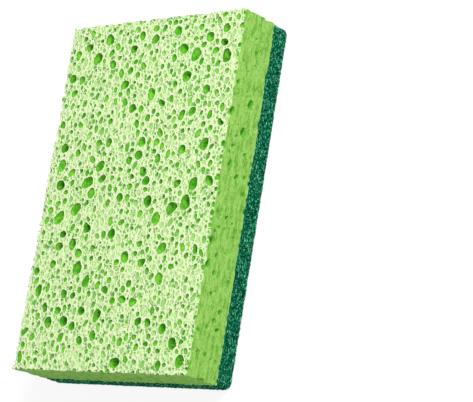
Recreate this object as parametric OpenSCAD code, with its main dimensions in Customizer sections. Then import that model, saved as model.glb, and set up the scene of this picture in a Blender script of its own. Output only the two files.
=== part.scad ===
// Cleaning sponge: a block of cellulose foam with an abrasive fibre pad bonded under it.
// The sponge lies on its pad, with the length along X, the width along Y and the foam on top.

/* [Block] */
// Length of the sponge
sponge_len = 110; // [90:1:140]
// Width of the sponge
sponge_wid = 71; // [55:1:90]
// Thickness of the cellulose foam
foam_thick = 14; // [10:0.5:25]
// Thickness of the scouring pad
pad_thick = 6.5; // [4:0.5:12]

/* [Scouring pad] */
// Radius of the pad's four corners, seen from above
pad_corner_r = 2; // [1:0.25:5]
// Radius of the rolled edge round the pad's scouring face
pad_edge_r = 1; // [0.5:0.25:2]

/* [Foam cells] */
// Radius of the largest cells that the knife has cut open
cell_r_max = 1.9; // [1.5:0.1:2.6]
// Radius of the smallest cells that are cut here
cell_r_min = 0.8; // [0.6:0.05:1.2]
// How much more common small cells are than large ones
cell_size_bias = 5; // [1:0.5:8]
// Cells tried on each square centimetre of the top
top_density = 10; // [2:0.5:12]
// Cells tried on each square centimetre of the sides
side_density = 3.5; // [1:0.5:6]
// Thinnest foam wall left between two cells
cell_wall = 0.3; // [0.2:0.05:0.6]
// Cells tried on each centimetre of edge
edge_density = 2.5; // [0:0.5:4]
// Radius of the largest cells on an edge
edge_r_max = 1.1; // [0.8:0.05:1.4]
// Share of the larger cells that are oval, along the grain
oval_share = 0.5; // [0:0.05:1]
// Length of an oval cell over its width
cell_stretch = 1.3; // [1.1:0.05:1.6]
// Widest angle between an oval cell and the grain, in degrees
cell_tilt = 60; // [0:5:90]
// Deepest that a cell's middle lies under the cut face, over the cell's radius
cell_sink = 0.45; // [0.2:0.05:0.6]
// Share of the block's thickness that a cell on its side may span
side_cell_share = 0.2; // [0.1:0.02:0.3]

/* [Hidden] */
$fn = 32;

foam_top = pad_thick + foam_thick;
side_r_max = max(cell_r_min, min(cell_r_max, foam_thick * side_cell_share / 2));
oval_r_min = cell_r_min * 1.3;

low = [-sponge_len / 2, -sponge_wid / 2, pad_thick];
along = [sponge_len, 0, 0];
across = [0, sponge_wid, 0];
up = [0, 0, foam_thick];

// Each cut face of the foam: a corner, the two edges from it, the way out, its largest cell and its density.
CUT_FACES = [
    [low + up, along, across, [0, 0, 1], cell_r_max, top_density],
    [low, along, up, [0, -1, 0], side_r_max, side_density],
    [low + across, along, up, [0, 1, 0], side_r_max, side_density],
    [low, across, up, [-1, 0, 0], side_r_max, side_density],
    [low + along, across, up, [1, 0, 0], side_r_max, side_density]
];

// Each edge of the foam: a corner and the way along it.
EDGES = [
    for (corner = [low, low + across, low + up, low + across + up]) [corner, along],
    for (corner = [low, low + along, low + up, low + along + up]) [corner, across],
    for (corner = [low, low + along, low + across, low + along + across]) [corner, up]
];

// A scattered number from 0 to 1, the same for the same seed and k: the fraction of a steep wave.
function scatter(seed, k) =
    let (wave = sin(seed * 77.13 + k * 191.7 + 13) * 43758.5453)
    wave - floor(wave);

// The radius of the nth of so many cells, the largest first.
function cell_r(n, tries, largest) =
    cell_r_min + (largest - cell_r_min) * pow(1 - n / tries, cell_size_bias);

// A cell on a face or along an edge: the middles of its balls, their radius, and the axis of their poles.
function face_cell(face, seed, r) =
    let (
        sink = cell_sink * r * (2 * scatter(seed, 2) - 0.8) * face[3],
        middle = face[0] + face[1] * scatter(seed, 0) + face[2] * scatter(seed, 1) - sink,
        angle = cell_tilt * (2 * scatter(seed, 3) - 1),
        reach = r * (cell_stretch - 1) * [cos(angle), sin(angle), 0],
        is_oval = face[1].x > 0 && r > oval_r_min && scatter(seed, 4) < oval_share
    )
    [is_oval ? [middle - reach, middle + reach] : [middle], r, face[3]];

function edge_cell(edge, seed, r) =
    [[edge[0] + edge[1] * scatter(seed, 0)], r, edge[1] / norm(edge[1])];

// Inward distance of a point from each plane of the foam block, its bonded face included.
function plane_gaps(p) = [
    sponge_len / 2 - p.x, sponge_len / 2 + p.x,
    sponge_wid / 2 - p.y, sponge_wid / 2 + p.y,
    foam_top - p.z, p.z - pad_thick
];

// How many planes a ball reaches. A cell on a face reaches one, and a cell on an edge reaches two.
function planes_reached(p, r) =
    len([for (gap = plane_gaps(p)) if (gap < r + cell_wall) 1]);

function apart(a, b) =
    min([for (p = a[0], q = b[0]) norm(p - q)]) > a[1] + b[1] + cell_wall;

function fits(new, placed, planes) =
    len([for (p = new[0]) if (planes_reached(p, new[1]) != planes) 1]) == 0 &&
    len([for (old = placed) if (!apart(new, old)) 1]) == 0;

// Places the cells one by one, the largest first, and keeps each that fits beside those before it.
function place(wanted, planes, placed, i = 0) =
    i >= len(wanted) ? placed :
    place(wanted, planes, fits(wanted[i], placed, planes) ? concat(placed, [wanted[i]]) : placed, i + 1);

EDGE_CELLS = place([
    for (i = [0 : len(EDGES) - 1])
        let (edge = EDGES[i], tries = ceil(norm(edge[1]) / 10 * edge_density))
        for (n = [0 : tries - 1]) edge_cell(edge, 1000 * (i + 10) + n, cell_r(n, tries, edge_r_max))
], 2, []);

CELLS = place([
    for (i = [0 : len(CUT_FACES) - 1])
        let (face = CUT_FACES[i], tries = ceil(norm(face[1]) * norm(face[2]) / 100 * face[5]))
        for (n = [0 : tries - 1]) face_cell(face, 1000 * i + n, cell_r(n, tries, face[4]))
], 1, EDGE_CELLS);

module foam_cell(cell) {
    turn = cell[2].x != 0 ? [0, 90, 0] : cell[2].y != 0 ? [90, 0, 0] : [0, 0, 0];
    for (middle = cell[0])
        translate(middle)
            rotate(turn)
                sphere(r = cell[1]);
}

module cellulose_sponge() {
    color([0.71, 0.9, 0.55])
        difference() {
            translate([-sponge_len / 2, -sponge_wid / 2, pad_thick])
                cube([sponge_len, sponge_wid, foam_thick]);
            for (cell = CELLS) foam_cell(cell);
        }
}

// A plate with round upright corners.
module round_plate(size, r) {
    for (inset = [[r, 0], [0, r]])
        translate([inset.x - size.x / 2, inset.y - size.y / 2, 0])
            cube([size.x - 2 * inset.x, size.y - 2 * inset.y, size.z]);
    for (x = [-1, 1], y = [-1, 1])
        translate([x * (size.x / 2 - r), y * (size.y / 2 - r), 0])
            cylinder(h = size.z, r = r);
}

// A bar along X whose two lower edges are rolled.
module rolled_bar(size, r) {
    translate([-size.x / 2, -size.y / 2, r])
        cube([size.x, size.y, size.z - r]);
    translate([-size.x / 2, r - size.y / 2, 0])
        cube([size.x, size.y - 2 * r, size.z]);
    for (y = [-1, 1])
        translate([-size.x / 2, y * (size.y / 2 - r), r])
            rotate([0, 90, 0])
                cylinder(h = size.x, r = r);
}

module scouring_pad() {
    color([0.02, 0.4, 0.31])
        intersection() {
            round_plate([sponge_len, sponge_wid, pad_thick], pad_corner_r);
            rolled_bar([sponge_len, sponge_wid, pad_thick], pad_edge_r);
            rotate([0, 0, 90])
                rolled_bar([sponge_wid, sponge_len, pad_thick], pad_edge_r);
        }
}

cellulose_sponge();
scouring_pad();
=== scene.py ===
import math
from itertools import product

import bpy
import numpy as np
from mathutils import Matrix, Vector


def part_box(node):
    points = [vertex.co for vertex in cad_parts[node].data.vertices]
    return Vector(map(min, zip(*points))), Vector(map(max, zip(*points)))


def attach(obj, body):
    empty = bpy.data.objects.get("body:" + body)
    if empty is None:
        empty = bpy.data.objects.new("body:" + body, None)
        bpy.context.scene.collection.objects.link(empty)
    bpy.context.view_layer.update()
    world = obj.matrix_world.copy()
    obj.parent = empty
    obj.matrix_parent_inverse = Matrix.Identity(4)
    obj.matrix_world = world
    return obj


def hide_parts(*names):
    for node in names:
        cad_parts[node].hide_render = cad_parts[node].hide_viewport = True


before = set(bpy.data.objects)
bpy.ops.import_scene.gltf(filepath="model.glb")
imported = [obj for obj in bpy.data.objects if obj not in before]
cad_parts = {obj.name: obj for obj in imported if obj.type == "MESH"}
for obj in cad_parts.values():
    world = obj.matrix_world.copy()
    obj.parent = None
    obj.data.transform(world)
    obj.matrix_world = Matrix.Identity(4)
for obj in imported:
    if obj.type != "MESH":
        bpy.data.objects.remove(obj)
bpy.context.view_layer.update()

# Lengths are in mm where no note says otherwise, and a mesh or a node's distance turns them into metres.
mm = 0.001
tiny = 1e-9

# The block's own sizes, read from the CAD parts.
foamLow, foamHigh = (np.round(np.array(corner) / mm, 3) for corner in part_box("cellulose_sponge"))
padLow, padHigh = (np.round(np.array(corner) / mm, 3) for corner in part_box("scouring_pad"))
foamSize = foamHigh - foamLow


# Camera

view = {
    "place": (-0.13102, -0.40965, 0.42958),  # m
    "turn": (20.5448, 39.1234, -78.4104),  # degrees, X then Y then Z
    "lens": 151.34,  # on a sensor 36 wide
    "nearest": 0.01,  # m
    "farthest": 20,  # m
}


def makeCamera(settings):
    # The photograph's viewpoint, with its turn given as angles about X, Y and Z.
    bpy.context.scene.view_settings.view_transform = "Standard"
    data = bpy.data.cameras.new("camera")
    data.lens = settings["lens"]
    data.clip_start = settings["nearest"]
    data.clip_end = settings["farthest"]
    camera = bpy.data.objects.new("camera", data)
    camera.location = settings["place"]
    camera.rotation_euler = [math.radians(angle) for angle in settings["turn"]]
    bpy.context.scene.collection.objects.link(camera)
    bpy.context.scene.camera = camera


# Numpy helpers

hashWaves = np.array([12.9898, 78.233, 37.719])
hashGain = 43758.5453
axisSalt = 5.3  # sets the draws for X, Y and Z apart
ownSalt = 31.7  # and the draw of a cell's own number
seedJitter = 0.9  # how far a seed strays in its box
farOff = 9.0  # stands for a distance that isn't found yet


def fraction(values):
    # values - floor(values)
    return values - np.floor(values)


def hashed(cells, salt):
    # frac(gain sin(cell . waves + salt)), for whole-number cells (i, j, k)
    return fraction(np.sin(cells @ hashWaves + salt) * hashGain)


def smoothStep(low, high, values):
    # 3 t^2 - 2 t^3, with t running from 0 at low to 1 at high
    t = np.clip((values - low) / (high - low), 0, 1)
    return t * t * (3 - 2 * t)


def valueNoise(points, size, salt):
    # Values hashed at the corners of cubes of that size, mixed smoothly in between, from -1 to 1.
    q = points / size
    base = np.floor(q)
    t = smoothStep(0, 1, q - base)
    total = np.zeros(len(points))
    for corner in product((0, 1), repeat=3):
        weight = np.prod(np.where(corner, t, 1 - t), axis=1)
        total += weight * hashed(base + corner, salt)
    return 2 * total - 1


def layeredNoise(points, layers):
    # The sum of weight * noise over layers of (size, weight, salt).
    return sum(weight * valueNoise(points, size, salt) for size, weight, salt in layers)


def scatteredCells(points, spacing, free, salt):
    # One seed in each box of a lattice, moved at random. A place belongs to its nearest seed, and its
    # wall is the nearest plane midway to another seed: ((q - middle) . n) over the length of n / spacing.
    # Returns that distance in mm, the way towards the wall, and a number of the cell's own.
    spacing = np.array(spacing)
    q = points / spacing
    base = np.floor(q)
    steps = list(product((-1, 0, 1), repeat=3))

    def seedIn(box):
        draws = [hashed(box, salt + axisSalt * axis) for axis in range(3)]
        return box + 0.5 + seedJitter * (np.stack(draws, -1) - 0.5)

    first, mine, own = np.full(len(q), farOff), np.zeros_like(q), np.zeros(len(q))
    for step in steps:
        seed = seedIn(base + step)
        far = np.linalg.norm(seed - q, axis=1)
        nearer = far < first
        mine = np.where(nearer[:, None], seed, mine)
        own = np.where(nearer, hashed(base + step, salt + ownSalt), own)
        first = np.where(nearer, far, first)
    wall, toWall = np.full(len(q), farOff), np.zeros_like(q)
    for step in steps:
        across = seedIn(base + step) - mine
        length = np.linalg.norm(across, axis=1)
        length = np.where(length < tiny, np.inf, length)
        normal = across / length[:, None]
        rate = np.linalg.norm(normal / spacing * free, axis=1) + tiny
        far = np.where(np.isinf(length), farOff, (length / 2 - ((q - mine) * normal).sum(1)) / rate)
        nearer = far < wall
        toWall = np.where(nearer[:, None], normal / spacing * free / rate[:, None], toWall)
        wall = np.where(nearer, far, wall)
    return wall, toWall, own


def makeMesh(name, points, faces):
    # Points in mm become a mesh in metres. Faces are given as arrays of rows, all of one length each.
    mesh = bpy.data.meshes.new(name)
    loops = np.concatenate([np.asarray(rows).ravel() for rows in faces]).astype(np.int32)
    sizes = np.concatenate([np.full(len(rows), len(rows[0])) for rows in faces])
    starts = np.concatenate([[0], np.cumsum(sizes)[:-1]]).astype(np.int32)
    mesh.vertices.add(len(points))
    mesh.vertices.foreach_set("co", (np.asarray(points) * mm).astype(np.float32).ravel())
    mesh.loops.add(len(loops))
    mesh.loops.foreach_set("vertex_index", loops)
    mesh.polygons.add(len(sizes))
    mesh.polygons.foreach_set("loop_start", starts)
    mesh.update(calc_edges=True)
    mesh.validate()
    mesh.polygons.foreach_set("use_smooth", np.ones(len(mesh.polygons), bool))
    piece = bpy.data.objects.new(name, mesh)
    bpy.context.scene.collection.objects.link(piece)
    return piece


def addAttributes(piece, values):
    # Each attribute is one number for each vertex, under the name that the materials read.
    for name, numbers in values.items():
        data = piece.data.attributes.new(name, "FLOAT", "POINT")
        data.data.foreach_set("value", np.asarray(numbers, np.float32))


# Block surface: one broad face and the four sides, as one grid

def blockSurface(low, high, counts, rows, broadIsTop):
    # The broad face is x(u), y(v) on an even grid. The sides hang from its border ring: the ring's own
    # points, carried to the far side in even rows. The last ring is closed by one flat face.
    nx, ny = counts
    x = np.linspace(low[0], high[0], nx + 1)
    y = np.linspace(low[1], high[1], ny + 1)
    start, end = (high[2], low[2]) if broadIsTop else (low[2], high[2])
    gridX, gridY = np.meshgrid(x, y, indexing="ij")
    broad = np.stack([gridX, gridY, np.full_like(gridX, start)], -1).reshape(-1, 3)
    index = np.arange((nx + 1) * (ny + 1)).reshape(nx + 1, ny + 1)
    quads = np.stack([index[:-1, :-1], index[1:, :-1], index[1:, 1:], index[:-1, 1:]], -1).reshape(-1, 4)
    ring = np.concatenate([index[:-1, 0], index[-1, :-1], index[:0:-1, -1], index[0, :0:-1]])
    walls = np.repeat(broad[ring][None], rows, 0)
    walls[:, :, 2] = np.linspace(start, end, rows + 1)[1:, None]
    rings = len(broad) + np.arange(rows * len(ring)).reshape(rows, len(ring))
    rings = np.concatenate([ring[None], rings])
    after = np.roll(rings, -1, axis=1)
    sides = np.stack([rings[:-1], rings[1:], after[1:], after[:-1]], -1).reshape(-1, 4)
    closing = rings[-1][::-1][None]
    faces = [quads, sides, closing]
    if not broadIsTop:
        faces = [part[:, ::-1] for part in faces]
    return np.concatenate([broad, walls.reshape(-1, 3)]), faces


def inwardWay(points, low, high, broadIsTop, reach):
    # The way into the block: each cut plane nearby pushes away from itself, by 1 on the plane and by
    # nothing at that reach from it, and the sum is made one long.
    fromLow = np.clip(1 - (points - low) / reach, 0, 1)
    fromHigh = np.clip(1 - (high - points) / reach, 0, 1)
    uncut = fromLow if broadIsTop else fromHigh
    uncut[:, 2] = 0
    way = fromLow - fromHigh
    return way / np.linalg.norm(way, axis=1)[:, None]


def edgeShare(ways, lean):
    # 0 on a flat face and 1 where the way leans over that far: (|x| + |y| + |z| - 1) / lean
    return np.clip(np.linalg.norm(ways, ord=1, axis=1) - 1, 0, lean) / lean


# Foam cells: the same rule and numbers as the part's source, then finer cells between them

cutCells = {
    "largestRadius": 1.9,
    "smallestRadius": 0.8,
    "sizeBias": 5,
    "topDensity": 10,  # tries on a square centimetre
    "sideDensity": 3.5,
    "wall": 0.3,
    "edgeDensity": 2.5,  # tries on a centimetre
    "edgeRadius": 1.1,
    "seamOpenness": 0.35,  # glue half fills what is cut at the seam, and 0 cuts nothing there
    "ovalShare": 0.5,
    "stretch": 1.3,
    "tilt": 60,  # degrees
    "sink": 0.45,
    "sideShare": 0.2,
    "closed": 0.0,  # how nearly shut the most shallow cells are
    "seed": 0,
}
fineCells = {
    "largestRadius": 1.0,
    "smallestRadius": 0.5,
    "sizeBias": 1.5,
    "topDensity": 90,
    "sideDensity": 6,
    "wall": 0.16,
    "edgeDensity": 3,
    "edgeRadius": 0.6,
    "seamOpenness": 0,
    "ovalShare": 0.9,
    "stretch": 1.45,
    "tilt": 35,
    "sink": 0.35,
    "sideShare": 0.08,
    "closed": 0.8,
    "seed": 50000,
}
ovalFrom = 1.3  # smallest radii, past which a cell may be oval
highestMiddle = 0.8  # how far above its face a cell's middle may lie, in sinks
seedBlock = 1000  # each face and edge has a block of seeds of its own
firstEdgeBlock = 10


def scatter(seed, k):
    # frac(gain sin(77.13 seed + 191.7 k + 13)), the angle in degrees
    wave = math.sin(math.radians(math.fmod(seed * 77.13 + k * 191.7 + 13, 360))) * hashGain
    return wave - math.floor(wave)


def newCells():
    # The balls kept so far, for the walls between them, and the egg shapes that they make, for the cuts.
    return {"middles": np.zeros((0, 3)), "radii": np.zeros(0), "eggs": []}


def addCell(cells, middles, radius, wall, planes, openness):
    # A cell stays if each ball reaches that many planes and leaves a wall beside every ball before it.
    for middle in middles:
        gaps = np.concatenate([foamHigh - middle, middle - foamLow])
        if (gaps < radius + wall).sum() != planes:
            return
        apart = np.linalg.norm(cells["middles"] - middle, axis=1)
        if (apart <= cells["radii"] + radius + wall).any():
            return
    cells["middles"] = np.concatenate([cells["middles"], middles])
    cells["radii"] = np.concatenate([cells["radii"], [radius] * len(middles)])
    cells["eggs"].append((np.mean(middles, axis=0), radius, (middles[-1] - middles[0]) / 2, openness))


def growCells(cells, rules):
    # Tries at scattered places, first along the edges and then over the faces, largest first:
    # radius = smallest + (largest - smallest) (1 - n / tries) ^ bias. An oval cell is two balls, apart
    # by the stretch and turned by the tilt.
    smallest, largest = rules["smallestRadius"], rules["largestRadius"]
    sideRadius = max(smallest, min(largest, foamSize[2] * rules["sideShare"] / 2))
    low = foamLow
    length, width, height = np.diag(foamSize)
    edges = [(corner, length) for corner in (low, low + width, low + height, low + width + height)]
    edges += [(corner, width) for corner in (low, low + length, low + height, low + length + height)]
    edges += [(corner, height) for corner in (low, low + length, low + width, low + length + width)]
    sides = [
        (low, length, height, (0, -1, 0)),
        (low + width, length, height, (0, 1, 0)),
        (low, width, height, (-1, 0, 0)),
        (low + length, width, height, (1, 0, 0)),
    ]
    faces = [(low + height, length, width, (0, 0, 1), largest, rules["topDensity"])]
    faces += [(*side, sideRadius, rules["sideDensity"]) for side in sides]

    def radiusOf(n, tries, biggest):
        return smallest + (biggest - smallest) * (1 - n / tries) ** rules["sizeBias"]

    for i, (corner, along) in enumerate(edges):
        onSeam = corner[2] + along[2] < foamHigh[2]
        openness = rules["seamOpenness"] if onSeam else 1
        if not openness:
            continue
        tries = math.ceil(np.linalg.norm(along) / 10 * rules["edgeDensity"])
        for n in range(tries):
            seed = rules["seed"] + seedBlock * (i + firstEdgeBlock) + n
            middles = (corner + along * scatter(seed, 0))[None]
            addCell(cells, middles, radiusOf(n, tries, rules["edgeRadius"]), rules["wall"], 2, openness)
    for i, (corner, along, across, out, biggest, density) in enumerate(faces):
        tries = math.ceil(np.linalg.norm(along) * np.linalg.norm(across) / 100 * density)
        for n in range(tries):
            seed = rules["seed"] + seedBlock * i + n
            radius = radiusOf(n, tries, biggest)
            sink = rules["sink"] * radius * (2 * scatter(seed, 2) - highestMiddle) * np.array(out)
            middle = corner + along * scatter(seed, 0) + across * scatter(seed, 1) - sink
            angle = math.radians(rules["tilt"] * (2 * scatter(seed, 3) - 1))
            half = radius * (rules["stretch"] - 1) * np.array([math.cos(angle), math.sin(angle), 0])
            mayBeOval = along[0] > 0 and radius > smallest * ovalFrom
            isOval = mayBeOval and scatter(seed, 4) < rules["ovalShare"]
            middles = np.array([middle - half, middle + half]) if isOval else middle[None]
            addCell(cells, middles, radius, rules["wall"], 1, 1 - rules["closed"] * scatter(seed, 5))


widestGap = 3.0  # the gap where no rim is near
readMargin = 1  # how far round a cell its rim is looked for
leastSlope = 0.12  # under a cell's middle, where the slope along the surface comes to nothing


def readCells(points, ways, free, eggs):
    # Depth: how far a point goes along its way w until it has left the egg that it starts in, which is
    # the far root of |q + t w| = 1 with q and w measured in the egg's own radii.
    # Gap: how far it lies outside the nearest rim along the surface, less than 0 inside, which is
    # |q| - 1 over the slope of |q| along the directions that are free. Away: where that slope points.
    depth, gap = np.zeros(len(points)), np.full(len(points), widestGap)
    opened, away = np.zeros(len(points)), np.zeros_like(points)
    for middle, radius, half, openness in eggs:
        longer = radius + np.linalg.norm(half)
        near = np.flatnonzero((np.abs(points - middle) < longer + readMargin).all(1))
        along = half / max(np.linalg.norm(half), tiny)
        pull = 1 / longer - 1 / radius

        def inRadii(v):
            return v / radius + (v @ along * pull)[:, None] * along

        q, w = inRadii(points[near] - middle), inRadii(ways[near])
        far = np.linalg.norm(q, axis=1) + tiny
        slope = inRadii(q / far[:, None]) * free[near]
        steep = np.maximum(np.linalg.norm(slope, axis=1), leastSlope)
        rim = np.maximum((far - 1) / steep, -longer)
        a, b, c = (w * w).sum(1), (q * w).sum(1), far * far - 1
        root = np.where(c < 0, openness * (-b + np.sqrt(np.maximum(b * b - a * c, 0))) / a, 0)
        depth[near] = np.maximum(depth[near], root)
        closer = rim < gap[near]
        gap[near] = np.where(closer, rim, gap[near])
        opened[near] = np.where(closer, openness, opened[near])
        away[near] = np.where(closer[:, None], slope / steep[:, None], away[near])
    return depth, gap, opened, away


foamShape = {
    "counts": (338, 218),  # grid along the length and the width
    "rows": 22,
    "edgeReach": 2.6,  # how far an edge turns the cuts
    "topWay": (0.3, 0.95),  # how upright a way is where the sides' pattern gives over to the top's
    "slide": 0.45,  # how far a point may slide to a rim or a wall, in grid spacings
    "steepest": 3.0,  # a cut cell's wall, as fall over run
    "wander": ((2.6, 0.42), (1.0, 0.2)),  # size and reach of the bends in the cells' outlines
    "wanderSalts": (1.7, 2.9, 4.3),  # along X, Y and Z
    "netSpacing": (1.6, 1.1, 1.1),  # the small cells between the others
    "netSalt": 8.1,
    "netDepth": 0.62,
    "netLeast": 0.2,  # the shallowest of them, as a share of that depth
    "netBias": 1.5,  # past 1, more of them are shallow
    "netSlope": 0.42,  # how far from its wall a small cell is at its deepest
    "netInside": 0.6,  # how much of them shows in a large cell
    "sideSpacing": (3.4, 3.0, 0.8),  # the same on the sides
    "sideSalt": 5.9,
    "sideDepth": 0.14,
    "cutShare": 0.9,  # how much of its full depth a cell has
    "cutUneven": ((1.6, 0.2, 2.2),),  # and how that varies, as noise layers of (size, weight, salt)
    "waviness": 0.2,  # of the knife's cut
    "waves": ((9.0, 0.5, 6.6),),
    "edgeLean": 0.45,
    "edgeWear": 0.12,  # how far the edges are rounded off
    "edgeNicks": 0.8,  # how far they are torn in
    "nicks": ((1.9, 1.0, 7.7), (0.8, 0.5, 3.1)),
    "seamNicks": 0.42,  # the same just over the scouring pad
    "seamReach": 1.3,
    "seamRagged": ((2.9, 0.7, 1.3), (0.9, 0.9, 4.9)),
    "lip": (0.1, 0.7),  # over the seam, where its pale edge ends
    "crease": 55,  # degrees past which an edge is sharp
}


def readFoam(points, ways, free, onTop, shape, eggs):
    # What the cells say of each point, read at a place that noise bends away from it, and the small
    # cells' walls there, of the top's pattern or of the sides'.
    bends = [
        layeredNoise(points, [(size, reach, salt) for size, reach in shape["wander"]])
        for salt in shape["wanderSalts"]
    ]
    bent = points + np.stack(bends, -1)
    depth, gap, opened, away = readCells(bent, ways, free, eggs)
    wall, toWall, own = scatteredCells(bent, shape["netSpacing"], free, shape["netSalt"])
    wallSide, toWallSide, ownSide = scatteredCells(bent, shape["sideSpacing"], free, shape["sideSalt"])
    top = onTop > 0.5
    wall, own = np.where(top, wall, wallSide), np.where(top, own, ownSide)
    return depth, gap, opened, away, wall, np.where(top[:, None], toWall, toWallSide), own


def makeFoam(shape, eggs):
    # Each point goes in along its way by the cut cell's depth + the small cell's + the knife's wave +
    # the wear and the nicks of the edges.
    points, faces = blockSurface(foamLow, foamHigh, shape["counts"], shape["rows"], True)
    spacing = foamSize / [*shape["counts"], shape["rows"]]
    free = ((points > foamLow + tiny) & (points < foamHigh - tiny)).astype(float)
    ways = inwardWay(points, foamLow, foamHigh, True, shape["edgeReach"])
    onTop = smoothStep(*shape["topWay"], -ways[:, 2])

    # Points close to a rim or a wall slide on to it, by less than half the grid's spacing, so that rims
    # and walls are smooth lines.
    depth, gap, opened, away, wall, toWall, own = readFoam(points, ways, free, onTop, shape, eggs)
    onRim = np.abs(gap) < shape["slide"] * (np.abs(away) * spacing).sum(1)
    onWall = ~onRim & (gap > 0) & (wall < shape["slide"] * (np.abs(toWall) * spacing).sum(1))
    points = points - np.where(onRim, gap, 0)[:, None] * away + np.where(onWall, wall, 0)[:, None] * toWall
    depth, gap, opened, away, wall, toWall, own = readFoam(points, ways, free, onTop, shape, eggs)
    depth, gap, wall = np.where(onRim, 0, depth), np.where(onRim, 0, gap), np.where(onWall, 0, wall)
    depth = np.minimum(depth, shape["steepest"] * np.maximum(-gap, 0))

    # Small cells sink from their walls, and less inside the large ones.
    netShare = shape["netLeast"] + (1 - shape["netLeast"]) * own ** shape["netBias"]
    netDepth = shape["netDepth"] * netShare * onTop + shape["sideDepth"] * own * (1 - onTop)
    inside = shape["netInside"] * np.minimum(wall, -gap)
    net = netDepth * smoothStep(0, shape["netSlope"], np.where(gap > 0, np.minimum(wall, gap), inside))

    edge = edgeShare(ways, shape["edgeLean"]) ** 3
    above = points[:, 2] - foamLow[2]
    wave = shape["waviness"] * (0.5 + layeredNoise(points, shape["waves"]))
    nick = sum(np.maximum(0, layeredNoise(points, [layer])) for layer in shape["nicks"])
    ragged = np.maximum(0, layeredNoise(points, shape["seamRagged"]))
    total = depth * (shape["cutShare"] + layeredNoise(points, shape["cutUneven"])) + net + wave
    total += (shape["edgeWear"] + shape["edgeNicks"] * nick) * edge
    total += shape["seamNicks"] * ragged * smoothStep(shape["seamReach"], 0.0, above)
    moved = points + ways * total[:, None]
    moved[:, 2] = np.maximum(moved[:, 2], foamLow[2])

    piece = makeMesh("sponge_foam", moved, faces)
    piece.data.set_sharp_from_angle(angle=math.radians(shape["crease"]))
    addAttributes(piece, {
        "gap": gap,
        "wall": wall,
        "own": own,
        "depth": depth,
        "open": opened,
        "side": 1 - (points[:, 2] > foamHigh[2] - tiny),
        "below": foamHigh[2] - points[:, 2],
        "lip": 1 - smoothStep(*shape["lip"], above),
    })
    return piece


# Scouring pad: a dark core that fills the mat, and the fibres that show on it

padShape = {
    "counts": (200, 130),
    "rows": 14,
    "cornerRadius": 2.0,
    "edgeRadius": 1.0,
    "inset": 0.22,  # the core lies this far under the fibres
    "underFoam": 0.02,
    "lumps": 0.28,
    "lumpSpacing": (0.9, 0.9, 0.5),
    "lumpSlope": 0.3,
    "lumpLeast": 0.3,  # the shallowest hollow between lumps, as a share
    "lumpSalt": 3.3,
    "edgeReach": 1.2,
    "edgeLean": 0.42,
    "edgeWear": 0.32,
}


def roundPad(points, cornerRadius, edgeRadius):
    # Upright corners: a point in a corner's square slides towards the square's inner corner, by the
    # longer leg of its arm over the arm's length, so that the square becomes a quarter disc.
    points = points.copy()
    inner = padHigh[:2] - cornerRadius
    nearest = np.clip(points[:, :2], -inner, inner)
    arm = points[:, :2] - nearest
    length = np.linalg.norm(arm, axis=1)
    squash = np.where(length > tiny, np.abs(arm).max(1) / np.maximum(length, tiny), 1)
    points[:, :2] = nearest + arm * squash[:, None]
    # The lower edge, in the same way: out is how far a point lies past the edge's own middle line, and
    # down how far it lies below it.
    arm = points[:, :2] - nearest
    length = np.linalg.norm(arm, axis=1)
    out = length - (cornerRadius - edgeRadius)
    down = padLow[2] + edgeRadius - points[:, 2]
    within = (out > 0) & (down > 0)
    squash = np.where(within, np.maximum(out, down) / np.maximum(np.hypot(out, down), tiny), 1)
    longer = (length + np.where(within, out * (squash - 1), 0)) / np.maximum(length, tiny)
    points[:, :2] = nearest + arm * longer[:, None]
    points[:, 2] += np.where(within, down * (1 - squash), 0)
    return points


def makePadCore(shape):
    # A slab a little smaller than the pad, with hollows between small lumps, and its edges worn in.
    low = padLow + shape["inset"]
    high = padHigh - [shape["inset"], shape["inset"], shape["underFoam"]]
    points, faces = blockSurface(low, high, shape["counts"], shape["rows"], False)
    ways = inwardWay(points, low, high, False, shape["edgeReach"])
    points = roundPad(points, shape["cornerRadius"], shape["edgeRadius"])
    wall, _, own = scatteredCells(points, shape["lumpSpacing"], 1, shape["lumpSalt"])
    share = shape["lumpLeast"] + (1 - shape["lumpLeast"]) * own
    rough = shape["lumps"] * smoothStep(0.0, shape["lumpSlope"], wall) * share
    worn = shape["edgeWear"] * edgeShare(ways, shape["edgeLean"])
    moved = points + ways * (rough + worn)[:, None]
    moved[:, 2] = np.minimum(moved[:, 2], high[2])
    piece = makeMesh("scouring_mat", moved, faces)
    # The hollows' depth, which the mat's material paints as shade.
    addAttributes(piece, {"depth": rough / shape["lumps"]})
    return piece


fibreShape = {
    "radius": 0.062,
    "tip": 0.35,  # share of the radius at a fibre's ends
    "length": (4.5, 9.0),
    "crimp": 0.34,  # sideways swing
    "crimpLength": (1.8, 3.4),
    "slowCrimp": 0.6,  # a second swing, as a share of the first
    "slowLength": 2.3,  # and how many times longer its wave is
    "lift": 0.16,  # in and out of the mat
    "liftPace": 0.8,  # its waves for each one of the crimp
    "liftSink": 0.35,  # how far its middle lies in the mat, in lifts
    "liftSpread": (-0.16, 0.05),  # from one fibre to the next
    "topMargin": 0.12,  # how near to the foam a fibre comes
    "sideSpots": 0.25,  # where their middles start, under the pad's upper edge
    "sideUnder": 1.2,  # how far past the side's foot they go on
    "underInset": 3.5,  # how far inside the outline their middles lie, on the scouring face
    "underMargin": 1,  # and how near to it they come
    "underFlat": 0.6,  # how much of the lift is left there
    "underSink": 0.1,
    "steps": 9,
    "sides": 3,
}


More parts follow.
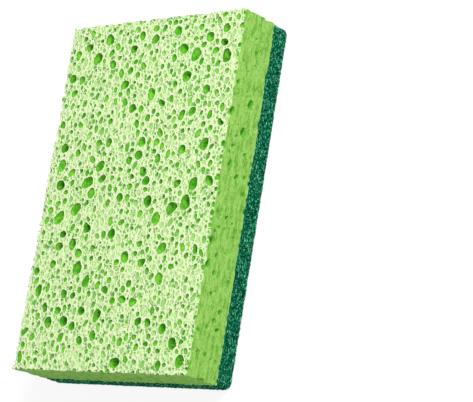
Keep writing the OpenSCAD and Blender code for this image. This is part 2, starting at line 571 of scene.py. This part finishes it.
def padSurface(s, t, lift):
    # Carries the mat's profile round its outline. s runs round the outline from the middle of the +X end,
    # t runs from the mat's top edge down the side, round the lower edge and in under the mat. A fibre
    # that would pass the top edge turns back down.
    t = np.abs(t - fibreShape["topMargin"]) + fibreShape["topMargin"]
    r = padShape["cornerRadius"]
    halfX, halfY = padHigh[0] - r, padHigh[1] - r
    arc = r * math.pi / 2
    legs = [halfY, arc, 2 * halfX, arc, 2 * halfY, arc, 2 * halfX, arc, halfY]
    stops = np.concatenate([[0], np.cumsum(legs)])
    s = np.mod(s, stops[-1])
    leg = np.clip(np.searchsorted(stops, s, side="right") - 1, 0, len(legs) - 1)
    run = s - stops[leg]
    # Each leg starts at a point with a heading; on an arc the heading turns by run / r.
    endX, endY = halfX + r, halfY + r
    startX = np.array([endX, endX, halfX, -halfX, -endX, -endX, -halfX, halfX, endX])
    startY = np.array([0, halfY, endY, endY, halfY, -halfY, -endY, -endY, -halfY])
    heading = np.radians([90, 90, 180, 180, 270, 270, 360, 360, 450])[leg]
    isArc = leg % 2 == 1
    turned = heading + np.where(isArc, run / r, 0)
    x = startX[leg] + np.where(isArc, r * (np.sin(turned) - np.sin(heading)), run * np.cos(heading))
    y = startY[leg] + np.where(isArc, -r * (np.cos(turned) - np.cos(heading)), run * np.sin(heading))
    # The profile: straight down, a quarter turn of the edge radius, then straight in.
    edge = padShape["edgeRadius"]
    straight = padHigh[2] - edge
    bend = np.clip((t - straight) / edge, 0, math.pi / 2)
    inset = edge * (1 - np.cos(bend)) + np.maximum(t - straight - edge * math.pi / 2, 0)
    z = padHigh[2] - np.minimum(t, straight) - edge * np.sin(bend)
    shift = lift * np.cos(bend) - inset
    return np.stack([x + np.sin(turned) * shift, y - np.cos(turned) * shift, z - lift * np.sin(bend)], -1)


def underSurface(x, y, lift):
    # The flat scouring face, where a fibre goes no nearer to the outline than the margin.
    reach = padHigh - fibreShape["underMargin"]
    z = fibreShape["underSink"] - lift * fibreShape["underFlat"]
    return np.stack([np.clip(x, -reach[0], reach[0]), np.clip(y, -reach[1], reach[1]), z], -1)


def sideSpots(random, count):
    # Places (s, t) on padSurface, all round the outline and from near the top edge to under the mat.
    around = 4 * (padHigh[0] + padHigh[1])
    lowest = padHigh[2] + fibreShape["sideUnder"]
    return random.uniform(0, around, count), random.uniform(fibreShape["sideSpots"], lowest, count)


def underSpots(random, count):
    # Places (x, y) on underSurface.
    reach = padHigh[:2] - fibreShape["underInset"]
    return random.uniform(-reach[0], reach[0], count), random.uniform(-reach[1], reach[1], count)


fibreSets = {
    "scouring_fibres_side": {"seed": 11, "spots": sideSpots, "surface": padSurface, "spread": 0.55},
    "scouring_fibres_side_2": {"seed": 12, "spots": sideSpots, "surface": padSurface, "spread": 0.55},
    "scouring_fibres_under": {"seed": 13, "spots": underSpots, "surface": underSurface, "spread": 1.2},
}
fibreCount = 3600  # in each set
aside = np.array([0.31, 0.52, 0.79])  # a way that no fibre runs


def tubesAlong(name, lines, shape):
    # A closed tube round each line: line + radius (sideways cos a + upward sin a) at each step, thinner
    # at both tips, and one flat face on each tip.
    count, steps = lines.shape[:2]
    sides = shape["sides"]
    ahead = np.gradient(lines, axis=1)
    ahead /= np.linalg.norm(ahead, axis=2)[..., None] + tiny
    sideways = np.cross(ahead, aside)
    sideways /= np.linalg.norm(sideways, axis=2)[..., None] + tiny
    upward = np.cross(ahead, sideways)
    angle = np.arange(sides) * 2 * math.pi / sides
    fromTip = np.minimum(np.arange(steps), np.arange(steps)[::-1])
    taper = np.minimum(1, shape["tip"] + fromTip * (1 - shape["tip"]))
    thick = shape["radius"] * taper[None, :, None, None]
    around = sideways[:, :, None] * np.cos(angle)[:, None] + upward[:, :, None] * np.sin(angle)[:, None]
    ring = lines[:, :, None] + thick * around
    index = np.arange(count * steps * sides).reshape(count, steps, sides)
    after = np.roll(index, -1, axis=2)
    quads = np.stack([index[:, :-1], after[:, :-1], after[:, 1:], index[:, 1:]], -1).reshape(-1, 4)
    tips = np.concatenate([index[:, 0, ::-1], index[:, -1]])
    return makeMesh(name, ring.reshape(-1, 3), [quads, tips])


def makeFibres(name, count, settings, shape):
    # Each fibre runs straight through its spot on the mat at a random heading, with two sine waves
    # across it and a third in and out of the mat.
    random = np.random.default_rng(settings["seed"])
    a, b = settings["spots"](random, count)
    heading = random.normal(0, settings["spread"], count)[:, None]
    length = random.uniform(*shape["length"], count)
    wave = random.uniform(*shape["crimpLength"], count)
    phase, slowPhase = random.uniform(0, 2 * math.pi, (2, count))[..., None]
    run = np.linspace(-0.5, 0.5, shape["steps"])[None] * length[:, None]
    turns = 2 * math.pi * run / wave[:, None]
    swing = shape["crimp"] * np.sin(turns + phase)
    swing += shape["crimp"] * shape["slowCrimp"] * np.sin(turns / shape["slowLength"] + slowPhase)
    alongA = a[:, None] + run * np.cos(heading) - swing * np.sin(heading)
    alongB = b[:, None] + run * np.sin(heading) + swing * np.cos(heading)
    lift = shape["lift"] * (np.sin(turns * shape["liftPace"] + slowPhase) - shape["liftSink"])
    lift += random.uniform(*shape["liftSpread"], count)[:, None]
    lines = settings["surface"](alongA, alongB, lift)
    lines[..., 2] = np.maximum(lines[..., 2], shape["radius"])
    piece = tubesAlong(name, lines, shape)
    addAttributes(piece, {"tint": np.repeat(random.uniform(0, 1, count), shape["steps"] * shape["sides"])})
    return piece


# Materials

class Wiring:
    # Short ways to add nodes: an input is a number, a colour or another node's output.
    def __init__(self, tree):
        self.tree = tree

    def node(self, kind, inputs=(), **settings):
        node = self.tree.nodes.new("ShaderNode" + kind)
        for name, value in settings.items():
            setattr(node, name, value)
        for key, value in dict(inputs).items():
            self.feed(node.inputs[key], value)
        return node

    def feed(self, socket, value):
        if hasattr(value, "is_output"):
            self.tree.links.new(value, socket)
        else:
            socket.default_value = value

    def attribute(self, name):
        return self.node("Attribute", attribute_name=name).outputs["Fac"]

    def math(self, operation, *values):
        return self.node("Math", enumerate(values), operation=operation).outputs[0]

    def vectorMath(self, operation, inputs):
        return self.node("VectorMath", inputs, operation=operation).outputs[0]

    def step(self, value, low, high, start=0.0, end=1.0):
        # Smoothly from start at low to end at high.
        inputs = {"Value": value, "From Min": low, "From Max": high, "To Min": start, "To Max": end}
        return self.node("MapRange", inputs, interpolation_type="SMOOTHSTEP").outputs["Result"]

    def mix(self, amount, first, second):
        return self.node("Mix", {0: amount, 6: first, 7: second}, data_type="RGBA").outputs[2]

    def mixValue(self, amount, first, second):
        return self.node("Mix", {0: amount, 2: first, 3: second}).outputs[0]

    def ramp(self, value, stops):
        # Two colours, each at its place, and an even change between them.
        node = self.node("ValToRGB", {"Fac": value})
        for element, (place, colour) in zip(node.color_ramp.elements, stops):
            element.position = place
            element.color = colour
        return node.outputs["Color"]

    def inMillimetres(self, stretch=(1, 1, 1), turn=0):
        # Object coordinates in mm, with what they carry stretched and turned about the upright axis.
        inputs = {
            "Vector": self.node("TexCoord").outputs["Object"],
            "Rotation": (0, 0, math.radians(turn)),
            "Scale": [mm * part for part in stretch],
        }
        return self.node("Mapping", inputs, vector_type="TEXTURE").outputs["Vector"]

    def noise(self, vector, size, detail=2.0, roughness=0.5, output="Fac"):
        inputs = {"Vector": vector, "Scale": 1 / size, "Detail": detail, "Roughness": roughness}
        return self.node("TexNoise", inputs).outputs[output]

    def warped(self, vector, size, amount):
        # vector + 2 amount (noise - 0.5)
        colour = self.noise(vector, size, output="Color")
        bend = self.vectorMath("SUBTRACT", {0: colour, 1: (0.5, 0.5, 0.5)})
        bend = self.vectorMath("SCALE", {0: bend, "Scale": 2 * amount})
        return self.vectorMath("ADD", {0: vector, 1: bend})

    def fromBorder(self, vector, spacing):
        # How far a place is from the border of its scattered cell, in spacings.
        inputs = {"Vector": vector, "Scale": 1 / spacing}
        return self.node("TexVoronoi", inputs, feature="DISTANCE_TO_EDGE").outputs["Distance"]

    def pores(self, vector, spacing, smallest, largest, wall, blur, faintest):
        # Round pores of mixed sizes in a scattered pattern: how far a place is inside its pore, as the
        # lesser of radius - distance to the pore's middle and distance to the neighbour's border - wall.
        # Each is as strong as its own number says, from faintest to 1.
        cell = self.node("TexVoronoi", {"Vector": vector, "Scale": 1 / spacing}, feature="F1")
        own = self.node("SeparateColor", {"Color": cell.outputs["Color"]})
        radius = self.math("MULTIPLY_ADD", own.outputs["Red"], largest - smallest, smallest)
        inside = self.math("SUBTRACT", radius, cell.outputs["Distance"])
        inside = self.math("MINIMUM", inside, self.math("SUBTRACT", self.fromBorder(vector, spacing), wall))
        strength = self.math("MULTIPLY_ADD", own.outputs["Green"], 1 - faintest, faintest)
        return self.math("MULTIPLY", self.step(inside, 0.0, blur), strength)


def newMaterial(name, roughness, specular):
    # A principled material that is the same all over in its gloss, and the wiring of its nodes.
    material = bpy.data.materials.new(name)
    material.use_nodes = True
    shader = material.node_tree.nodes["Principled BSDF"]
    shader.inputs["Roughness"].default_value = roughness
    shader.inputs["Specular IOR Level"].default_value = specular
    return material, shader, Wiring(material.node_tree)


def fromScreen(red, green, blue):
    # A colour as a screen shows it, 0 to 255, turned linear: ((c / 255 + 0.055) / 1.055) ^ 2.4, and
    # c / 3294.6 for the darkest.
    return (*(((c / 255 + 0.055) / 1.055) ** 2.4 if c > 10 else c / 3294.6 for c in (red, green, blue)), 1)


foamLook = {
    "pale": fromScreen(216, 253, 168),
    "rim": fromScreen(244, 255, 214),
    # painted shade: the green of the small cells' hollows, as deep as each cell sinks
    "net": fromScreen(108, 194, 46),
    # painted shade: the dark green of the fine pores in the walls, which have no depth of their own
    "speck": fromScreen(60, 146, 18),
    "poreLight": fromScreen(124, 212, 54),
    "poreMiddle": fromScreen(70, 178, 18),
    # painted shade: the colour of the cells' deep parts and of the band under their rims
    "poreShade": fromScreen(36, 130, 8),
    "poreOlive": fromScreen(172, 204, 80),
    "side": fromScreen(158, 216, 100),
    "sideDark": fromScreen(108, 182, 54),
    "sidePale": fromScreen(204, 244, 146),
    "roughness": 0.85,
    "specular": 0.15,
    "bump": 0.045,  # height of the specks
    "pinholeBump": 3.0,  # and of other marks, in specks
    "grainBump": -2.0,
    "streakBump": -2.0,
    # Sizes and kinds of the noises: size, detail, roughness.
    "grain": (0.4, 2, 0.7),
    "mottle": (0.8, 2, 0.6),
    "light": (2.6, 1),  # from one cell to the next
    "streak": (0.42, 4, 0.75),
    "streakStretch": (2.4, 1, 0.8),
    "hollow": (1.3, 2),
    "hollowStretch": (3, 1.5, 1),
    # The specks in the walls and the pinholes, with all but the spacing in spacings.
    "specks": {
        "spacing": 0.74,
        "smallest": 0.35,
        "largest": 0.85,
        "wall": 0.09,
        "blur": 0.1,
        "faintest": 0.2,
    },
    "speckStretch": (2.0, 1, 1),
    "speckTurn": 14,  # degrees from the length
    "speckBend": (0.9, 0.4),  # size and amount
    "pinholes": {
        "spacing": 2.6,
        "smallest": 0.16,
        "largest": 0.42,
        "wall": 0.0,
        "blur": 0.12,
        "faintest": 1,
    },
    # Where each mark comes in, from the first value to the second, and its strength at both, if those
    # aren't 0 and 1. Values are mm from a rim, wall or seam, depths in mm, or a noise's own.
    "rimLine": (0.26, 0.06),
    "rimMiddle": 0.05,  # of that line, outside the rim
    "rimStrength": 0.85,
    "wallLine": (0.2, 0.04, 0, 0.9),
    # painted shade: a small cell goes greener away from its wall
    "smallCellShade": (0.08, 0.32),
    "paleGrain": (0.54, 0.64, 0, 0.6),
    "offRim": (0.2, 0.35),  # pinholes
    "pinholeStrength": 0.85,
    "inCell": (0.02, -0.08),
    "openCell": (0.15, 0.9, 0.25, 1.0),  # by how far open a cell is
    "middlePore": (-0.12, 0.1),
    # painted shade: a cell's inside darkens with its depth
    "deepPoreShade": (0.4, 1.5, 0, 0.85),
    "deepShade": 1.2,  # times the depth, less the cell's own light
    "olivePore": (0.55, 0.64, 0, 0.5),
    # painted shade: a darker band just inside each rim
    "underRimShade": (-0.3, -0.1, 0, 0.45),
    "sideHollow": (0.42, 0.68),
    "paleStreak": (0.52, 0.64, 0, 0.6),
    "darkStreak": (0.48, 0.36, 0, 0.6),
    "paleFleck": (0.56, 0.66, 0, 0.5),
    "darkFleck": (0.42, 0.32, 0, 0.5),
    "sideCell": (0.02, -0.15, 0, 0.7),
    "brokenLip": (0.3, 0.6),
    "lipStrength": 0.7,
    "underTop": (1.6, 2.4),  # mm under the top, with the hollows' ups and downs
    "topRag": 3.0,  # how far those reach
    "onSide": (0.2, 0.7),
    "floorOfCell": (-0.1, -0.35),
}


def cutFace(wire, look, at):
    # Pale walls round small green cells, specks in the walls, light grains, a light line along each wall
    # and rim, and pinholes. The small cells' green, stronger where they sink deeper, and the specks' dark
    # green are painted shade in their hollows. Returns the colour, the specks and the pinholes.
    fromRim = wire.math("ABSOLUTE", wire.math("SUBTRACT", at["gap"], look["rimMiddle"]))
    rim = wire.step(fromRim, *look["rimLine"])
    border = wire.math("MINIMUM", at["wall"], at["gap"])
    # Painted shade: by the cell's own number, which also sets how deep it sinks.
    small = wire.math("MULTIPLY", wire.step(border, *look["smallCellShade"]), at["own"])
    turned = wire.inMillimetres(look["speckStretch"], look["speckTurn"])
    speck = wire.pores(wire.warped(turned, *look["speckBend"]), **look["specks"])
    speck = wire.math("MULTIPLY", speck, wire.math("SUBTRACT", 1.0, rim))
    pinhole = wire.pores(at["place"], **look["pinholes"])
    pinhole = wire.math("MULTIPLY", pinhole, wire.step(at["gap"], *look["offRim"]))
    face = wire.mix(small, look["pale"], look["net"])
    # Painted shade: the specks are fine pores drawn dark, with only a bump for depth.
    face = wire.mix(speck, face, look["speck"])
    face = wire.mix(wire.step(at["grain"], *look["paleGrain"]), face, look["rim"])
    face = wire.mix(wire.step(at["wall"], *look["wallLine"]), face, look["rim"])
    face = wire.mix(wire.math("MULTIPLY", rim, look["rimStrength"]), face, look["rim"])
    face = wire.mix(wire.math("MULTIPLY", pinhole, look["pinholeStrength"]), face, look["poreMiddle"])
    return face, speck, pinhole


def poreInside(wire, look, at):
    # Mottled greens, lighter in some cells than in others, with olive patches, and painted shade: darker
    # just under the rim and where the cell is deep.
    light = wire.noise(at["place"], *look["light"])
    middle = wire.step(wire.math("SUBTRACT", at["grain"], light), *look["middlePore"])
    pore = wire.mix(middle, look["poreLight"], look["poreMiddle"])
    # Painted shade: the deeper in the cell, the darker.
    deep = wire.math("MULTIPLY", at["depth"], wire.math("SUBTRACT", look["deepShade"], light))
    pore = wire.mix(wire.step(deep, *look["deepPoreShade"]), pore, look["poreShade"])
    mottle = wire.noise(at["place"], *look["mottle"])
    pore = wire.mix(wire.step(mottle, *look["olivePore"]), pore, look["poreOlive"])
    # Painted shade just under the rim.
    return wire.mix(wire.step(at["gap"], *look["underRimShade"]), pore, look["poreShade"])


def cutSide(wire, look, at, streak, hollow):
    # Streaks along the length, darker hollows, flecks, darker cut cells and a pale, broken lower edge.
    sides = wire.mix(wire.step(hollow, *look["sideHollow"]), look["side"], look["sideDark"])
    sides = wire.mix(wire.step(streak, *look["paleStreak"]), sides, look["sidePale"])
    sides = wire.mix(wire.step(streak, *look["darkStreak"]), sides, look["sideDark"])
    sides = wire.mix(wire.step(at["grain"], *look["paleFleck"]), sides, look["sidePale"])
    sides = wire.mix(wire.step(at["grain"], *look["darkFleck"]), sides, look["sideDark"])
    sides = wire.mix(wire.step(at["gap"], *look["sideCell"]), sides, look["poreMiddle"])
    lip = wire.math("MULTIPLY", at["lip"], wire.step(hollow, *look["brokenLip"]))
    return wire.mix(wire.math("MULTIPLY", lip, look["lipStrength"]), sides, look["pale"])


def makeFoamMaterial(look):
    # The cut face with the insides of its open cells, and past an uneven upper edge the cut sides.
    material, shader, wire = newMaterial("cellulose_foam", look["roughness"], look["specular"])
    names = ("gap", "wall", "own", "depth", "open", "side", "below", "lip")
    at = {name: wire.attribute(name) for name in names}
    at["place"] = wire.inMillimetres()
    at["grain"] = wire.noise(at["place"], *look["grain"])
    streak = wire.noise(wire.inMillimetres(look["streakStretch"]), *look["streak"])
    hollow = wire.noise(wire.inMillimetres(look["hollowStretch"]), *look["hollow"])

    face, speck, pinhole = cutFace(wire, look, at)
    inCell = wire.step(at["gap"], *look["inCell"])
    inside = wire.math("MULTIPLY", inCell, wire.step(at["open"], *look["openCell"]))
    face = wire.mix(inside, face, poreInside(wire, look, at))
    edge = wire.step(wire.math("MULTIPLY_ADD", hollow, look["topRag"], at["below"]), *look["underTop"])
    edge = wire.math("MULTIPLY", edge, wire.step(at["side"], *look["onSide"]))
    colour = wire.mix(edge, face, cutSide(wire, look, at, streak, hollow))
    wire.feed(shader.inputs["Base Color"], colour)

    # The bump: specks and pinholes on the face, grain in the cells and streaks on the sides.
    height = wire.math("MULTIPLY_ADD", pinhole, look["pinholeBump"], speck)
    floorOfCell = wire.step(at["gap"], *look["floorOfCell"])
    height = wire.mixValue(floorOfCell, height, wire.math("MULTIPLY", at["grain"], look["grainBump"]))
    height = wire.mixValue(at["side"], height, wire.math("MULTIPLY", streak, look["streakBump"]))
    inputs = {"Strength": 1.0, "Distance": look["bump"] * mm, "Height": height}
    wire.feed(shader.inputs["Normal"], wire.node("Bump", inputs, invert=True).outputs["Normal"])
    return material


padLook = {
    # painted shade: the colour deep in the mat's hollows, also used for the fibres' dark patches
    "gap": fromScreen(0, 40, 28),
    "fibreDark": fromScreen(0, 84, 60),
    "fibre": fromScreen(0, 150, 114),
    # painted highlights: the light glints on the fibres
    "fibreGlint": fromScreen(140, 255, 196),
    # the painted shade reaches its full depth at this share of the lumps
    "hollow": 0.6,  # how deep the gap's colour is reached, as a share of the lumps
    "webs": (
        {"stretch": (2, 1, 1), "turn": 25, "spacing": 0.7, "colour": "fibreDark"},
        {"stretch": (1, 2.2, 1), "turn": -15, "spacing": 0.8, "colour": "fibre"},
    ),
    "webBend": (1.2, 0.5),  # size and amount
    "webLine": (0.13, 0.05, 0, 0.85),
    "coreRoughness": 0.8,
    "coreSpecular": 0.1,
    "patchNoise": (0.42, 2, 0.6),  # the patches of painted glints and of darker colour
    "patchStretch": (1.5, 1.5, 1),
    "darkPatch": (0.5, 0.36, 0, 0.9),
    "paintedGlint": (0.57, 0.62),
    "fibreRoughness": 0.75,
    "fibreSpecular": 0.06,
}


def makeMatMaterial(look):
    # Between the modelled fibres the mat shows a web of others: the borders of bent cells, in two layers.
    material, shader, wire = newMaterial("scouring_mat_core", look["coreRoughness"], look["coreSpecular"])
    # Painted shade: the fibres' dark green on the lumps goes over to the gap's colour deep in the hollows.
    stops = [(0.0, look["fibreDark"]), (look["hollow"], look["gap"])]
    colour = wire.ramp(wire.attribute("depth"), stops)
    for web in look["webs"]:
        bent = wire.warped(wire.inMillimetres(web["stretch"], web["turn"]), *look["webBend"])
        line = wire.step(wire.fromBorder(bent, web["spacing"]), *look["webLine"])
        colour = wire.mix(line, colour, look[web["colour"]])
    wire.feed(shader.inputs["Base Color"], colour)
    return material


def makeFibreMaterial(look):
    # Each fibre has its own tint, and noise paints light glints on it here and there and darkens it
    # elsewhere to the gap's colour.
    material, shader, wire = newMaterial("scouring_fibre", look["fibreRoughness"], look["fibreSpecular"])
    colour = wire.ramp(wire.attribute("tint"), [(0.0, look["fibreDark"]), (0.5, look["fibre"])])
    patchNoise = wire.noise(wire.inMillimetres(look["patchStretch"]), *look["patchNoise"])
    colour = wire.mix(wire.step(patchNoise, *look["darkPatch"]), colour, look["gap"])
    # Painted highlights: light glints on the fibres.
    colour = wire.mix(wire.step(patchNoise, *look["paintedGlint"]), colour, look["fibreGlint"])
    wire.feed(shader.inputs["Base Color"], colour)
    return material


# Floor and light, in metres

stage = {
    "floorSize": 4.0,
    "floorColour": (0.55, 0.55, 0.55, 1),  # what the object gets back from the floor
    "floorSeen": (0.16, 0.16, 0.16, 1),  # the part of the seen floor that takes the shadow
    "floorLift": 0.88,  # and the part that doesn't
    "lamps": {
        "key": {"place": (0.62, -0.7, 0.95), "power": 14.0, "size": 0.45, "colour": (1.0, 0.985, 0.95)},
        "fill": {"place": (-0.75, -0.45, 0.5), "power": 1.3, "size": 0.5, "colour": (1.0, 1.0, 1.0)},
    },
    "sky": 0.34,
    "skySeen": 1.0,
}


def seenRays(wire):
    # 1 for what the camera sees, straight or in a gloss, and 0 for light on its way to a surface.
    rays = wire.node("LightPath")
    return wire.math("MAXIMUM", rays.outputs["Is Camera Ray"], rays.outputs["Is Glossy Ray"])


def makeFloor(settings):
    # A flat square. What is seen of it has a darker colour and glows, so that it looks white with a
    # soft shadow, and what it throws back is plain grey.
    half = settings["floorSize"] / 2
    mesh = bpy.data.meshes.new("floor")
    corners = [(-half, -half, 0), (half, -half, 0), (half, half, 0), (-half, half, 0)]
    mesh.from_pydata(corners, [], [(0, 1, 2, 3)])
    floor = bpy.data.objects.new("floor", mesh)
    bpy.context.scene.collection.objects.link(floor)
    material, shader, wire = newMaterial("floor", 1.0, 0.0)
    seen = seenRays(wire)
    wire.feed(shader.inputs["Base Color"], wire.mix(seen, settings["floorColour"], settings["floorSeen"]))
    shader.inputs["Emission Color"].default_value = (1, 1, 1, 1)
    wire.feed(shader.inputs["Emission Strength"], wire.math("MULTIPLY", seen, settings["floorLift"]))
    mesh.materials.append(material)


def makeLight(settings):
    # An even sky, white where it is seen, and round lamps that face the origin.
    world = bpy.data.worlds.new("studio")
    world.use_nodes = True
    bpy.context.scene.world = world
    wire = Wiring(world.node_tree)
    sky = world.node_tree.nodes["Background"]
    sky.inputs["Color"].default_value = (1, 1, 1, 1)
    strength = wire.step(seenRays(wire), 0.0, 1.0, settings["sky"], settings["skySeen"])
    wire.feed(sky.inputs["Strength"], strength)
    for name, lamp in settings["lamps"].items():
        light = bpy.data.lights.new(name, "AREA")
        light.shape = "DISK"
        light.size = lamp["size"]
        light.energy = lamp["power"]
        light.color = lamp["colour"]
        carrier = bpy.data.objects.new(name, light)
        carrier.location = lamp["place"]
        carrier.rotation_mode = "QUATERNION"
        carrier.rotation_quaternion = carrier.location.to_track_quat("Z", "Y")
        bpy.context.scene.collection.objects.link(carrier)


def dress(piece, material, node=None):
    # Gives a piece its material and its slot, hides the CAD node that it stands for, if any, and hangs it
    # under the root body.
    piece.data.materials.append(material)
    if node:
        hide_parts(node)
    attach(piece, "root")


makeCamera(view)
makeFloor(stage)
makeLight(stage)
print("camera and stage made")

cells = newCells()
growCells(cells, cutCells)
cutCount = len(cells["eggs"])
growCells(cells, fineCells)
print("cells:", cutCount, "cut as in the solids and", len(cells["eggs"]) - cutCount, "finer")

foam = makeFoam(foamShape, cells["eggs"])
dress(foam, makeFoamMaterial(foamLook), "cellulose_sponge")
print("foam made,", len(foam.data.polygons), "faces")

mat = makePadCore(padShape)
dress(mat, makeMatMaterial(padLook), "scouring_pad")
fibreMaterial = makeFibreMaterial(padLook)
for name, settings in fibreSets.items():
    dress(makeFibres(name, fibreCount, settings, fibreShape), fibreMaterial)
print("scouring pad made")
